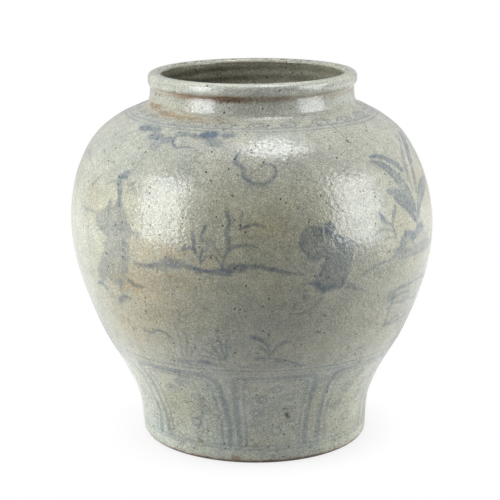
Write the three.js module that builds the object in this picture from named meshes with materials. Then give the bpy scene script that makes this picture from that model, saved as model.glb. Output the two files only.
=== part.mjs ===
// Wide-shouldered stoneware storage jar of the guan form, in millimetres, +Z up.
// The origin is on the ground, below the middle of the belly.
//
// A jar of this size is thrown in sections. Each section is a ring of revolution, and the
// sections are luted with slip: a neck collar on the shoulder, an upper body on a lower body
// at the belly, and a base disc bedded on a ledge inside the foot. The drying and the firing
// then let the stack settle a little out of true, and the last function does the same.

import * as THREE from "three";

// Driving dimensions
const SEGMENTS = 60; // facets round each ring
const GAP = 0.3; // clearance between neighbouring pieces
const SLIP = 1.4; // thickness of a slip layer

const HEIGHT = 339.6; // foot to the crown of the rim, before the rim tilts
const BELLY_SEAM = 206; // level of the joint between the two body sections
const SHOULDER_TOP = 306.8; // level of the upper body's cut edge
const BODY_WALL = 8; // wall thickness of the upper body
const FOOT_WALL = 12; // wall thickness just above the base
const MOUTH_RADIUS = 83.2; // inner lip
const NECK_BORE = 85.5; // inside of the neck at its root
const NECK_RADIUS = 93; // outside of the neck, at its waist
const SOCKET_RADIUS = 94.6; // outside of the neck where the slip fillet covers it
const FILLET_TOP = 314.2; // the fillet climbs the neck to this level
const FILLET_FOOT = 105; // and runs out on the shoulder at this radius
const RIM_RADIUS = 95.2; // outside of the rolled rim
const ROLL_BOTTOM = 328; // level of the groove under the roll
const CROWN_RADIUS = 89.8; // where the rim is highest

const FOOT_CONTACT_OUTER = 100.3; // the ring that stands on the ground
const FOOT_CONTACT_INNER = 88;
const FOOT_ROUNDING = 5.6; // height of the rounded edge outside the contact ring
const LEDGE_TOP = 7; // seat of the base disc
const SEAT_RADIUS = 93.5; // wall of the seat, at the ledge
const SEAT_DRAFT = 1; // how much the seat widens up to the disc's top
const BASE_THICKNESS = 12;

// Outside of the body: radius every 30 mm or so up the wall, then closer on the shoulder
const BODY_OUTLINE = new THREE.SplineCurve([
  new THREE.Vector2(105.4, 10),
  new THREE.Vector2(109, 40),
  new THREE.Vector2(121.6, 70),
  new THREE.Vector2(138.8, 100),
  new THREE.Vector2(151.5, 130),
  new THREE.Vector2(161.2, 160),
  new THREE.Vector2(166.3, 190),
  new THREE.Vector2(165.8, 218),
  new THREE.Vector2(160.6, 244),
  new THREE.Vector2(151.2, 267),
  new THREE.Vector2(138.8, 285),
  new THREE.Vector2(122.4, 298),
  new THREE.Vector2(105.2, SHOULDER_TOP),
]);

// How far the centre of each level has drifted along +X, from the foot up to the rim
const CENTRE_DRIFT = new THREE.SplineCurve([
  new THREE.Vector2(3, 0),
  new THREE.Vector2(1.2, 70),
  new THREE.Vector2(1.1, 140),
  new THREE.Vector2(-0.1, 210),
  new THREE.Vector2(-1.6, 272),
  new THREE.Vector2(-0.1, 308),
  new THREE.Vector2(0.3, HEIGHT),
]);
const NECK_TILT = THREE.MathUtils.degToRad(0.5); // the neck leans, high on the +X side
const TILT_FROM = 298; // the tilt grows between these two levels
const TILT_FULL = 318;

const point = (radius, level) => new THREE.Vector2(radius, level);

// The parameter at which a curve that climbs reaches a level
function parameterAt(curve, level) {
  let low = 0;
  let high = 1;
  for (let step = 0; step < 40; step++) {
    const middle = (low + high) / 2;
    if (curve.getPoint(middle).y < level) low = middle;
    else high = middle;
  }
  return low;
}

function outsideRadius(level) {
  return BODY_OUTLINE.getPoint(parameterAt(BODY_OUTLINE, level)).x;
}

// Points on the outside of the body from one level up to another
function outside(fromLevel, toLevel, steps) {
  const from = parameterAt(BODY_OUTLINE, fromLevel);
  const to = parameterAt(BODY_OUTLINE, toLevel);
  const points = [];
  for (let i = 0; i <= steps; i++) {
    points.push(BODY_OUTLINE.getPoint(THREE.MathUtils.lerp(from, to, i / steps)));
  }
  return points;
}

// Points on the inside of the wall, square to the outside, from one level down to another
function inside(fromLevel, toLevel, steps, wallAt) {
  const from = parameterAt(BODY_OUTLINE, fromLevel);
  const to = parameterAt(BODY_OUTLINE, toLevel);
  const points = [];
  for (let i = 0; i <= steps; i++) {
    const t = THREE.MathUtils.lerp(from, to, i / steps);
    const outer = BODY_OUTLINE.getPoint(t);
    const climb = BODY_OUTLINE.getTangent(t);
    const wall = wallAt(outer.y);
    points.push(point(outer.x - climb.y * wall, outer.y + climb.x * wall));
  }
  return points;
}

// Points of a bent line from one end to the other, pulled towards the middle point
function bend(start, pull, end, steps) {
  return new THREE.QuadraticBezierCurve(start, pull, end).getPoints(steps);
}

// The lower body thins from the foot wall to the body wall
function lowerWall(level) {
  const share = THREE.MathUtils.smoothstep(level, LEDGE_TOP + BASE_THICKNESS, BELLY_SEAM);
  return THREE.MathUtils.lerp(FOOT_WALL, BODY_WALL, Math.sqrt(share));
}

// Neck with its rolled rim: up the outside, over the crown and down the bore
function neckCollarProfile() {
  const bottom = SHOULDER_TOP + GAP + SLIP + GAP;
  return [
    point(NECK_BORE, bottom),
    point(SOCKET_RADIUS, bottom),
    point(SOCKET_RADIUS, FILLET_TOP),
    point(NECK_RADIUS + 0.3, FILLET_TOP + 3.5),
    point(NECK_RADIUS, FILLET_TOP + 7.5),
    point(NECK_RADIUS - 0.2, ROLL_BOTTOM - 1.4),
    ...bend(
      point(NECK_RADIUS, ROLL_BOTTOM),
      point(RIM_RADIUS, ROLL_BOTTOM + 0.8),
      point(RIM_RADIUS, ROLL_BOTTOM + 4.6),
      4,
    ),
    ...bend(
      point(RIM_RADIUS, HEIGHT - 4.4),
      point(RIM_RADIUS - 0.2, HEIGHT - 0.4),
      point(CROWN_RADIUS, HEIGHT),
      5,
    ),
    ...bend(
      point(MOUTH_RADIUS + 2.8, HEIGHT - 0.3),
      point(MOUTH_RADIUS, HEIGHT - 0.7),
      point(MOUTH_RADIUS, HEIGHT - 3.6),
      4,
    ),
    point(MOUTH_RADIUS + 0.9, HEIGHT - 11),
    point(NECK_BORE - 0.4, HEIGHT - 21),
    point(NECK_BORE, bottom),
  ];
}

// Shoulder and upper belly: the wall turns in to a cut edge that carries the neck
function upperBodyProfile() {
  const bottom = BELLY_SEAM + GAP + SLIP / 2;
  return [
    point(NECK_BORE, SHOULDER_TOP),
    ...bend(point(NECK_BORE, 304.6), point(NECK_BORE, 300.6), point(90.5, 300.2), 3),
    ...inside(SHOULDER_TOP - 0.8, bottom + 8, 9, () => BODY_WALL),
    point(outsideRadius(bottom) - BODY_WALL, bottom),
    ...outside(bottom, SHOULDER_TOP, 14),
    point(NECK_BORE, SHOULDER_TOP),
  ];
}

// Lower belly, waist and foot: the wall thickens down to a ledge for the base disc, and ends
// in the foot ring, which is rounded outside and chamfered inside
function lowerBodyProfile() {
  const top = BELLY_SEAM - GAP - SLIP / 2;
  const seatTop = LEDGE_TOP + GAP + SLIP + BASE_THICKNESS;
  return [
    point(FOOT_CONTACT_INNER + 1, 0),
    ...bend(
      point(FOOT_CONTACT_OUTER - 0.8, 0),
      point(FOOT_CONTACT_OUTER + 3.6, 0.2),
      point(FOOT_CONTACT_OUTER + 4.9, FOOT_ROUNDING),
      4,
    ),
    ...outside(10.2, top, 15),
    point(outsideRadius(top) - BODY_WALL, top),
    ...inside(top - 8, 30, 10, lowerWall),
    point(SEAT_RADIUS + SEAT_DRAFT, seatTop),
    point(SEAT_RADIUS, LEDGE_TOP),
    point(FOOT_CONTACT_INNER, LEDGE_TOP),
    point(FOOT_CONTACT_INNER, 1),
    point(FOOT_CONTACT_INNER + 1, 0),
  ];
}

// The disc that closes the foot, tapered like its seat and a little dished on top
function baseDiscProfile() {
  const bottom = LEDGE_TOP + GAP + SLIP + GAP;
  const top = bottom + BASE_THICKNESS;
  const clear = GAP + SLIP + GAP;
  return [
    point(0, bottom),
    point(SEAT_RADIUS - clear, bottom),
    point(SEAT_RADIUS + SEAT_DRAFT - clear, top),
    point(60, top - 0.8),
    point(0, top - 1.5),
  ];
}

// Slip between shoulder and neck: a flat layer, a fillet up the outside of the neck and a
// ridge pressed out into the bore
function neckSeamProfile() {
  const bottom = SHOULDER_TOP + GAP;
  const top = bottom + SLIP;
  const neckSide = SOCKET_RADIUS + GAP;
  return [
    point(NECK_BORE - 1.2, bottom + 0.2),
    point(FILLET_FOOT, bottom),
    ...bend(
      point(FILLET_FOOT - 0.7, bottom + 0.5),
      point(neckSide + 2.7, bottom + 2.5),
      point(neckSide + 0.5, FILLET_TOP),
      4,
    ),
    point(neckSide, FILLET_TOP),
    point(neckSide, top),
    point(NECK_BORE - 1.2, top - 0.2),
    point(NECK_BORE - 1.8, (bottom + top) / 2),
    point(NECK_BORE - 1.2, bottom + 0.2),
  ];
}

// Slip between the two body sections: a flat layer and a rounded ridge inside
function bellySeamProfile() {
  const low = BELLY_SEAM - SLIP / 2;
  const high = BELLY_SEAM + SLIP / 2;
  const outer = outsideRadius(BELLY_SEAM);
  const wallSide = outer - BODY_WALL - GAP;
  return [
    point(outer, low),
    point(outer, high),
    point(wallSide, high),
    point(wallSide, high + 4),
    ...bend(
      point(wallSide - 1, high + 4.6),
      point(wallSide - 4.2, BELLY_SEAM),
      point(wallSide - 1, low - 4.6),
      3,
    ),
    point(wallSide, low - 4),
    point(wallSide, low),
    point(outer, low),
  ];
}

// Slip round the base disc: under its edge, up its side and out over it in a fillet
function baseSeamProfile() {
  const low = LEDGE_TOP + GAP;
  const discTop = low + SLIP + GAP + BASE_THICKNESS;
  const wallLow = SEAT_RADIUS - GAP;
  const wallHigh = SEAT_RADIUS + SEAT_DRAFT - GAP;
  return [
    point(FOOT_CONTACT_INNER + 0.4, low),
    point(wallLow, low),
    point(wallHigh, discTop),
    ...bend(
      point(wallHigh + 0.1, discTop + 7),
      point(wallHigh - 3, discTop + 0.8),
      point(wallHigh - 11, discTop + 0.9),
      3,
    ),
    point(wallHigh - 11, discTop + GAP),
    point(wallHigh - SLIP, discTop + GAP),
    point(wallLow - SLIP, low + SLIP),
    point(FOOT_CONTACT_INNER + 0.4, low + SLIP),
    point(FOOT_CONTACT_INNER + 0.4, low),
  ];
}

// Lets a ring settle: its levels drift along X, and the neck tilts
function settle(geometry) {
  const places = geometry.getAttribute("position");
  for (let i = 0; i < places.count; i++) {
    const x = places.getX(i);
    const z = places.getZ(i);
    const level = THREE.MathUtils.clamp(z, 0, HEIGHT);
    const drift = CENTRE_DRIFT.getPoint(parameterAt(CENTRE_DRIFT, level)).x;
    const tilt = NECK_TILT * THREE.MathUtils.smoothstep(z, TILT_FROM, TILT_FULL);
    places.setX(i, x + drift);
    places.setZ(i, z + x * Math.tan(tilt));
  }
  geometry.computeVertexNormals();
}

const jar = new THREE.Group();

function addRing(name, profile, color, roughness) {
  const geometry = new THREE.LatheGeometry(profile, SEGMENTS);
  geometry.rotateX(Math.PI / 2);
  settle(geometry);
  const material = new THREE.MeshStandardMaterial({ color, roughness, metalness: 0 });
  const mesh = new THREE.Mesh(geometry, material);
  mesh.name = name;
  jar.add(mesh);
}

addRing("neck_collar", neckCollarProfile(), 0xa9aba0, 0.25);
addRing("upper_body", upperBodyProfile(), 0xa5a99b, 0.25);
addRing("lower_body", lowerBodyProfile(), 0xa0a79b, 0.25);
addRing("base_disc", baseDiscProfile(), 0x8b6f55, 0.8);
addRing("neck_seam_slip", neckSeamProfile(), 0xa3a597, 0.3);
addRing("belly_seam_slip", bellySeamProfile(), 0x8f9186, 0.35);
addRing("base_seam_slip", baseSeamProfile(), 0x84857a, 0.4);

export default jar;
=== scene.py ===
# Wide-shouldered stoneware jar of the guan form, painted in blue under a crackled glaze.
# Every thrown section and ring of slip is a turned profile, in millimetres. The painting is
# a list of brush strokes placed by angle and level. Each vertex keeps its share of pigment,
# and the mesh is finer where a stroke has an edge.

import math

import bmesh
import bpy
import numpy as np
from mathutils import Euler, Matrix


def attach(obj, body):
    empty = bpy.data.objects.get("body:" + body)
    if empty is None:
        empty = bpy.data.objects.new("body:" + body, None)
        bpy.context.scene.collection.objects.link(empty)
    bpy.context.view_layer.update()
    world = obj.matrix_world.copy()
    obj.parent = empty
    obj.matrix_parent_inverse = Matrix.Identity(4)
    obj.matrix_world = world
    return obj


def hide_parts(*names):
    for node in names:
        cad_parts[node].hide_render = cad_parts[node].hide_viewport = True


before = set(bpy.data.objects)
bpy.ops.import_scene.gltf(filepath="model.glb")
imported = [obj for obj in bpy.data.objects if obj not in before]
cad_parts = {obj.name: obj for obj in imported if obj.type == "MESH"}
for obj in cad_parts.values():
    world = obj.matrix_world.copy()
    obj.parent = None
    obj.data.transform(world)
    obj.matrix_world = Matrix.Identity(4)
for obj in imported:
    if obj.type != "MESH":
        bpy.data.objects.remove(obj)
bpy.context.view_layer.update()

MM = 0.001
DEGREE = math.pi / 180

# Levels and radii of the jar, as in the frame
HEIGHT = 339.6
BELLY_SEAM = 206
SHOULDER_TOP = 306.8
FILLET_TOP = 317.7
BODY_WALL = 8
FOOT_WALL = 12
BASE_TOP = 21
DISC_BOTTOM = 9
NECK_BORE = 85.5
MOUTH_RADIUS = 83.2
LEDGE_TOP = 7
FOOT_BORE = 88
DISC_SEAT = 93.5
GAP = 0.3  # between a ring of slip and the sections that it joins

# Outside of the body, (radius, level)
BODY_OUTLINE = [
    (105.4, 10), (109, 40), (121.6, 70), (138.8, 100), (151.5, 130), (161.2, 160), (166.3, 190),
    (165.8, 218), (160.6, 244), (151.2, 267), (138.8, 285), (122.4, 298), (105.2, SHOULDER_TOP),
]
# How far the centre of each level has drifted along +X, (drift, level)
CENTRE_DRIFT = [(3, 0), (1.2, 70), (1.1, 140), (-0.1, 210), (-1.6, 272), (-0.1, 308), (0.3, HEIGHT)]
NECK_TILT = 0.5 * DEGREE
TILT_FROM = 298
TILT_FULL = 318

# Facets round the pieces
AROUND = 320
BELLY_AROUND = 256
SLIP_AROUND = 192
DISC_AROUND = 144
# Spacing of the rings outside and inside a wall
OUTER_STEP = 3.4
SHOULDER_INNER_STEP = 2.8
BELLY_INNER_STEP = 3.2
# A wall is split once for each of these distances to the edge of a stroke
SHOULDER_SPLITS = (3.4, 1.2)
BELLY_SPLITS = (2.6, 0.7)
NECK_SPLITS = (1.0,)
SHORTEST = 1.3  # edges under this length aren't split
SHARP = 40 * DEGREE  # edges over this angle stay sharp
EDGE_REACH = 4.5  # how far past a stroke its distance is still measured
FAR = 1e3
TINY = 1e-9


def spline(points, steps):
    """A smooth line through all the points, with a number of steps between each two."""
    p = np.array([points[0], *points, points[-1]], float)
    t = np.linspace(0, 1, steps, endpoint=False)[:, None]
    spans = []
    for a, b, c, d in zip(p[:-3], p[1:-2], p[2:-1], p[3:]):
        bent = (2 * a - 5 * b + 4 * c - d) * t**2 + (3 * b - a - 3 * c + d) * t**3
        spans.append(0.5 * (2 * b + (c - a) * t + bent))
    return np.vstack([*spans, p[-1:]])


def bend(start, pull, end, steps):
    """A bent line from start to end, pulled towards a point."""
    t = np.linspace(0, 1, steps + 1)[:, None]
    a, b, c = (np.array(point, float) for point in (start, pull, end))
    return a * (1 - t) ** 2 + 2 * b * t * (1 - t) + c * t**2


def smoothstep(value, low, high):
    t = np.clip((value - low) / (high - low), 0, 1)
    return t * t * (3 - 2 * t)


# The whole outside, from the foot up over the rim to the inner lip, in one line
OUTSIDE = np.vstack([
    bend((99.5, 0), (103.9, 0.2), (105.2, 5.6), 10),
    spline(BODY_OUTLINE, 28),
    bend((105.2, SHOULDER_TOP), (93.9, 308.9), (93.5, FILLET_TOP), 14)[1:],
    spline([(93.5, FILLET_TOP), (93.1, 321.7), (92.8, 325.6), (93, 327.6)], 4)[1:],
    bend((93.2, 328.1), (95.2, 328.7), (95.3, 332.4), 6),
    bend((95.3, 335.2), (95, 339.2), (89.8, HEIGHT), 9),
    bend((86, 339.3), (MOUTH_RADIUS, 338.9), (MOUTH_RADIUS, 336), 8),
])
ARC = np.concatenate([[0], np.cumsum(np.hypot(*np.diff(OUTSIDE, axis=0).T))])
CROWN = int(OUTSIDE[:, 1].argmax()) + 1
LIP_DEPTH = 4.5  # length of the inner lip over which the glaze turns into that of the inside


def arc_at(level):
    """Length along the outside from the foot up to a level."""
    return np.interp(level, OUTSIDE[:CROWN, 1], ARC[:CROWN])


def outside_at(arc):
    """Radius and level at a length along the outside."""
    return np.interp(arc, ARC, OUTSIDE[:, 0]), np.interp(arc, ARC, OUTSIDE[:, 1])


def drift_at(level):
    line = spline(CENTRE_DRIFT, 24)
    return np.interp(level, line[:, 1], line[:, 0])


def settled(place):
    """Places after the levels have drifted along X and the neck has tilted."""
    tilt = NECK_TILT * smoothstep(place[:, 2], TILT_FROM, TILT_FULL)
    moved = place.copy()
    moved[:, 0] += drift_at(place[:, 2])
    moved[:, 2] += place[:, 0] * np.tan(tilt)
    return moved


# Painting. A stroke is (kind, width, strength, [(degrees, level), ...]). Degrees run from
# the front to the right, and all lengths are millimetres.
CLOUD_HOOK = [
    ("brush", 3.4, 0.75, [
        (-4.2, 288), (-5.2, 284), (-4.2, 280), (-2.3, 277), (-2.3, 272), (-0.6, 268), (1.6, 265.3),
        (4.4, 265), (6.8, 268), (8.2, 272.3), (8.3, 277), (6.6, 279.7), (4.4, 279.6), (3, 277.8)]),
    ("fill", 1, 0.3, [(-5, 289), (-1, 290.5), (0.6, 289), (-3, 286.5)]),
]
FAINT_CLOUD = [("brush", 2.6, 0.4, [(-82, 268), (-78, 271), (-74, 271), (-70, 267), (-66, 265)])]
SHOULDER_LEAVES = [
    ("dab", 7.5, 0.85, [(-52.4, 299.8), (-48.4, 299.6)]),
    ("dab", 6.9, 0.7, [(-45.6, 299.9), (-41.9, 299.7)]),
    ("dab", 8.3, 0.7, [(-42.8, 295.4), (-38.2, 295)]),
    ("dab", 7.5, 0.6, [(-38.4, 289.6), (-36.2, 289.4)]),
    ("dab", 7.7, 0.7, [(-34.9, 293.8), (-32, 294.4)]),
    ("dab", 6.3, 0.65, [(-30.4, 298.6), (-27.4, 299.5)]),
    ("dab", 10.2, 1.0, [(-18.9, 299.4), (-15.7, 300)]),
    ("dab", 8.8, 0.66, [(-15.8, 295.2), (-13, 294.8)]),
    ("dab", 6.9, 0.75, [(-10.8, 299.8), (-8.2, 300.2)]),
    ("dab", 5.5, 0.5, [(-24.5, 299), (-21.4, 297.6)]),
    ("brush", 1.6, 0.3, [
        (-52, 297), (-46, 298.4), (-40, 297.6), (-32, 296.8), (-24, 298.6), (-12, 300.4)]),
    ("brush", 2.2, 0.75, [(-32.2, 293.8), (-29.8, 291.4), (-27.9, 289.5), (-25, 290.6), (-21, 290.4)]),
]
ROBED_FIGURE = [  # a walker in a long robe, painted as one soft wash
    ("fill", 0.9, 0.95, [
        (-45.9, 267), (-43.6, 268.5), (-42.6, 266), (-43, 261.8), (-44.8, 261.2), (-46, 264)]),
    ("dab", 4.6, 0.85, [(-46.2, 262.6), (-44.6, 263.4)]),
    ("brush", 6, 0.8, [
        (-46.8, 263), (-46.2, 258.5), (-45.6, 253.8), (-44.8, 248.8), (-44.3, 243), (-43.8, 238)]),
    ("fill", 1.2, 0.6, [
        (-49.2, 243), (-47.7, 241.2), (-46.3, 237.8), (-45.3, 244.5), (-43.1, 243.2), (-41.2, 234.8),
        (-39.7, 225.8), (-37.4, 220.2), (-38.3, 215.5), (-38.9, 210), (-38.7, 201.5), (-39.1, 194.8),
        (-39.8, 186.5), (-40.9, 181.2), (-42.3, 172.8), (-43.8, 169.5), (-45.9, 168.5), (-48.7, 170.2),
        (-50.7, 174.5), (-52.2, 168.2), (-55, 165.2), (-55.6, 172), (-55, 179.2), (-52.7, 187.5),
        (-50.3, 196.8), (-49.5, 205), (-48.5, 210.8), (-50.7, 213), (-52.8, 216.5), (-54.3, 217.8),
        (-54.8, 222), (-55.2, 229.2), (-51.5, 233.2), (-49.3, 237.5)]),
    ("fill", 1, 0.6, [
        (-37.4, 219.2), (-36.5, 220.8), (-35, 219.8), (-34.8, 217), (-36, 215.2), (-37.2, 216.2)]),
    ("brush", 1.8, 0.6, [(-52.3, 253.8), (-50.1, 256.8), (-47.2, 258.8)]),
    ("brush", 1.6, 0.55, [(-41.9, 255.8), (-40.2, 258.5), (-38.9, 261)]),
    ("brush", 1.5, 0.45, [(-39.8, 254.5), (-38.2, 256)]),
    ("brush", 3, 0.45, [(-48.8, 243), (-48.6, 236.8), (-48.7, 229.2), (-48.6, 221.8), (-48.3, 212.2)]),
    ("brush", 4, 0.35, [(-42.8, 232), (-41.6, 216), (-41, 200), (-42.2, 184), (-44, 172)]),
    ("brush", 3.4, 0.4, [(-53.9, 178.8), (-53, 173.5), (-53.6, 166.2)]),
    ("brush", 3.8, 0.95, [(-57, 164), (-54.4, 165), (-53.1, 163.2), (-51.6, 160.4)]),
    ("brush", 4, 0.65, [(-44, 176.5), (-44.2, 169.5), (-44.6, 162.2)]),
    ("brush", 4.6, 0.85, [(-46.8, 151), (-45, 156.6), (-43.6, 159), (-41.2, 159.2)]),
    ("brush", 3.4, 0.8, [(-41.6, 178.4), (-40, 175), (-37.8, 173), (-34.8, 172.6)]),
    ("brush", 2.8, 0.6, [(-64, 227.6), (-60, 228.5), (-56, 228.3)]),
    ("brush", 2.4, 0.45, [
        (-56.6, 260.4), (-58.4, 255), (-60, 251), (-61.6, 246.8), (-62.5, 242.7), (-63, 238.5),
        (-63.3, 232.7), (-63.6, 222), (-63.8, 212.6)]),
]
GROUND_RISE = [
    ("fill", 1.4, 0.95, [
        (-37.8, 191.9), (-35.8, 192.8), (-33, 193.5), (-30.8, 195), (-29, 197.6), (-27.2, 199.5),
        (-25.9, 202.6), (-24.3, 202.4), (-22.8, 199.6), (-20.4, 199.4), (-18.6, 198), (-16, 195.6),
        (-12.7, 194.7), (-8.9, 196.2), (-6.8, 198.8), (-3.5, 201), (-0.6, 199.6), (-1.9, 195.5),
        (-5.2, 193.6), (-7.3, 189.9), (-11.9, 190.6), (-16.1, 192.2), (-19.1, 194.4), (-22.9, 193.8),
        (-26.2, 192), (-30, 191.8), (-33.1, 192)]),
    ("brush", 3.4, 0.7, [
        (-3.6, 199), (-1, 198.6), (2, 198), (5.6, 195.6), (8.2, 194), (11.4, 191.8), (14.8, 189.8)]),
    ("dab", 4, 0.45, [(5.8, 195.6), (7.2, 195.6)]),
]
GROUND_PLANTS = [
    ("brush", 3.2, 0.69, [(-17.1, 226.2), (-16.9, 218), (-16.8, 210.8), (-15.6, 204)]),
    ("brush", 3.4, 0.69, [(-21.5, 209.5), (-18.9, 212.2), (-17, 211.4), (-15.9, 206.2)]),
    ("brush", 2.6, 0.75, [(-13.2, 232.6), (-14.1, 226.8), (-15, 220.5)]),
    ("fill", 1.6, 0.57, [
        (-14.6, 221.8), (-12.8, 221.5), (-10.2, 218), (-10.4, 214.5), (-12.4, 214.5), (-14.7, 218.5)]),
    ("brush", 2.8, 0.75, [(-14.1, 213), (-14.8, 206.2), (-15.2, 199)]),
    ("brush", 2.2, 0.63, [(-12.9, 213.2), (-13.4, 207.8)]),
    ("brush", 2.6, 0.63, [(-10.8, 214.2), (-9.8, 210.2), (-9, 206)]),
    ("line", 1.7, 0.69, [(-14.9, 198.8), (-13.7, 204.8), (-11.2, 207), (-9.4, 201.8), (-8.6, 196)]),
    ("brush", 3.8, 0.69, [
        (-7.5, 243.5), (-6.4, 236.8), (-7.2, 225.2), (-6.5, 217), (-7.8, 206.8), (-8.6, 198)]),
    ("dab", 4.4, 0.34, [(-6.6, 222), (-6.9, 214)]),
    ("brush", 2, 0.69, [(-2.3, 243.8), (-3.2, 230.2)]),
    ("brush", 2.6, 0.8, [(-3.4, 229.4), (-1.5, 231.4), (0.1, 233.2), (2.2, 232.6), (4.4, 231.2)]),
    ("brush", 3, 0.71, [(-7.5, 207.2), (-6.6, 212.6), (-4.2, 215.6), (-0.5, 216), (1.7, 214.6)]),
]
SEATED_FIGURE = [  # a stooping figure with a round bundle
    ("fill", 1.5, 0.72, [
        (15.2, 227.8), (16.9, 230.2), (20, 229.8), (21.3, 228.5), (21, 221), (21.7, 213.5), (22.3, 206.8),
        (21.6, 203.2), (19.5, 202), (18.1, 201), (16.1, 205.2), (14.5, 209.2), (13.8, 216),
        (14.2, 222.5)]),
    ("fill", 1, 1.0, [
        (21.3, 228.5), (22.2, 231.8), (23.6, 233.4), (24.9, 231.6), (25, 226), (23.6, 221.5),
        (21.8, 221.8)]),
    ("fill", 1.4, 0.74, [
        (22.2, 222), (24.6, 222.6), (28.4, 218.6), (31.4, 213), (30.4, 200), (29.4, 186), (28, 176.5),
        (26.2, 173.4), (23.9, 175), (21.8, 172.2), (20.4, 172), (18.2, 177.5), (17.6, 181.8),
        (18.8, 186.2), (20.5, 193.8), (22, 203)]),
    ("brush", 1.8, 0.6, [(29.4, 218), (31.2, 213), (33.2, 208.7)]),
    ("brush", 2.6, 0.6, [(22.9, 212), (22.4, 204), (21.4, 196), (20, 188)]),
    ("brush", 3.6, 0.9, [(17.2, 181.8), (19.2, 179.8), (20.9, 177.8), (22.4, 176.5), (24.8, 177.2)]),
    ("brush", 3.4, 0.55, [(27.6, 214), (28.4, 202), (28.2, 190), (27.4, 180)]),
    ("brush", 2, 0.7, [(15.1, 181.2), (16.4, 181.6), (18, 181.2)]),
    ("fill", 1, 0.75, [(29, 180.6), (30.9, 177), (32.7, 171.3), (34.6, 169.4), (28.7, 174)]),
    ("dab", 6.5, 0.85, [(19.6, 179.6), (21, 177.4), (23, 176.4)]),
    ("dab", 4, 0.7, [(20.6, 175.8), (21.8, 174.4)]),
    ("line", 1, 0.75, [(16, 178), (15.3, 173.5), (15.6, 167)]),
    ("line", 1, 0.75, [(14.6, 164.8), (12.9, 164.2), (12.3, 160.8), (13.7, 158), (15.3, 160.5)]),
    ("line", 1, 0.65, [
        (21.6, 172.5), (21.2, 167.5), (19.4, 162), (17.1, 157.2), (14.5, 155), (12.7, 154.5)]),
    ("brush", 1.6, 0.4, [(24.8, 158), (25.4, 154.4), (26.2, 150.7)]),
]
PLANTAIN = [
    ("fill", 1.2, 0.82, [
        (44.5, 278.5), (46.4, 279.5), (49.1, 279.5), (52.2, 278), (54.7, 275), (57.7, 271.2), (59.5, 268),
        (60.3, 264.5), (60.2, 261.2), (58.6, 261.8), (57.2, 265.2), (55.4, 268.8), (53.2, 271.5),
        (50.9, 274.8), (48.1, 277), (45.8, 277.2)]),
    ("fill", 1.2, 0.78, [
        (44.7, 276.4), (47, 275.2), (49.4, 274), (51.5, 271.4), (53.4, 268.2), (55.4, 264.2), (57, 259.2),
        (58.7, 253.5), (60.3, 247.2), (61.1, 239.2), (61.3, 231.5), (61.4, 225), (59.4, 227.2),
        (57.7, 233.5), (56.4, 239.5), (54.6, 246.8), (53.3, 254.8), (52.3, 259.2), (50.8, 263.5),
        (48.9, 268.2), (46.6, 272), (44.7, 274.2)]),
    ("fill", 1.2, 0.88, [
        (47.1, 250.5), (48.2, 251.8), (51.1, 251), (53.3, 249.5), (55, 245), (56.9, 238.2), (58.3, 232),
        (59.7, 226), (61.1, 219.5), (61.2, 215), (59.5, 218.2), (57.4, 223.2), (55.5, 229.2), (53.2, 234),
        (51.2, 237.8), (50.4, 241.2), (49.6, 244.2), (47.9, 247.5)]),
    ("fill", 1.2, 0.85, [
        (78.3, 288.5), (81.8, 286), (80.1, 282.5), (77, 277.8), (73.6, 271.5), (70.9, 265), (69, 257.2),
        (67.2, 249.2), (65.2, 240.5), (64, 241), (65.1, 250.5), (66, 257.5), (67.4, 264.5), (69.2, 271.2),
        (71.9, 277.8), (74.5, 283.2)]),
    ("fill", 1.2, 0.6, [
        (76, 288), (73, 284.4), (69.6, 279.6), (66.8, 273), (64.8, 266), (63.4, 258.6), (62.9, 250),
        (62.6, 242), (61.9, 247.5), (61.4, 254), (61.6, 260.5), (62.6, 268.5), (66, 276.9), (70, 283.4)]),
    ("fill", 1.2, 0.85, [
        (81, 248.6), (83.4, 244.5), (77.4, 240.8), (71.8, 235.8), (67.3, 231.6), (64.6, 226.8),
        (62.9, 221), (61.6, 217.4), (61.9, 224.8), (63.4, 232.5), (64.4, 238), (66.6, 243.8),
        (69.2, 247.4), (73.4, 249.6)]),
    ("brush", 1.8, 0.6, [(61.9, 236), (61.2, 225), (61.3, 212)]),
    ("brush", 1.8, 0.6, [(65.4, 229.5), (63.7, 221.5), (62.5, 212)]),
    ("fill", 1.2, 0.8, [
        (61, 215), (66.2, 211), (66, 207.8), (62.6, 206.5), (60.6, 204.2), (57.1, 201.8), (54.8, 204.8),
        (59.4, 207), (60, 211)]),
]
SPRIG = [
    ("fill", 0.9, 0.95, [
        (41.2, 235), (42.8, 233.6), (44.4, 226.5), (46.2, 222.6), (44.1, 223.6), (42, 228)]),
    ("fill", 0.9, 0.9, [
        (49.4, 237), (49.7, 233.2), (48.7, 228.2), (47.3, 224), (47, 227.2), (47.9, 232.8)]),
    ("brush", 2.4, 0.8, [(45.9, 223.8), (47.1, 219.2), (47.8, 214.5), (48, 210), (48.4, 206)]),
    ("brush", 2, 0.7, [(47.4, 225), (47.3, 221), (47.6, 217)]),
    ("brush", 2, 0.75, [(39, 215.5), (40.1, 218), (42.3, 219.2), (45, 218.2), (47.4, 215.8)]),
    ("brush", 2, 0.65, [(43.4, 210.6), (45.3, 212), (47.7, 209.8)]),
]
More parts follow.
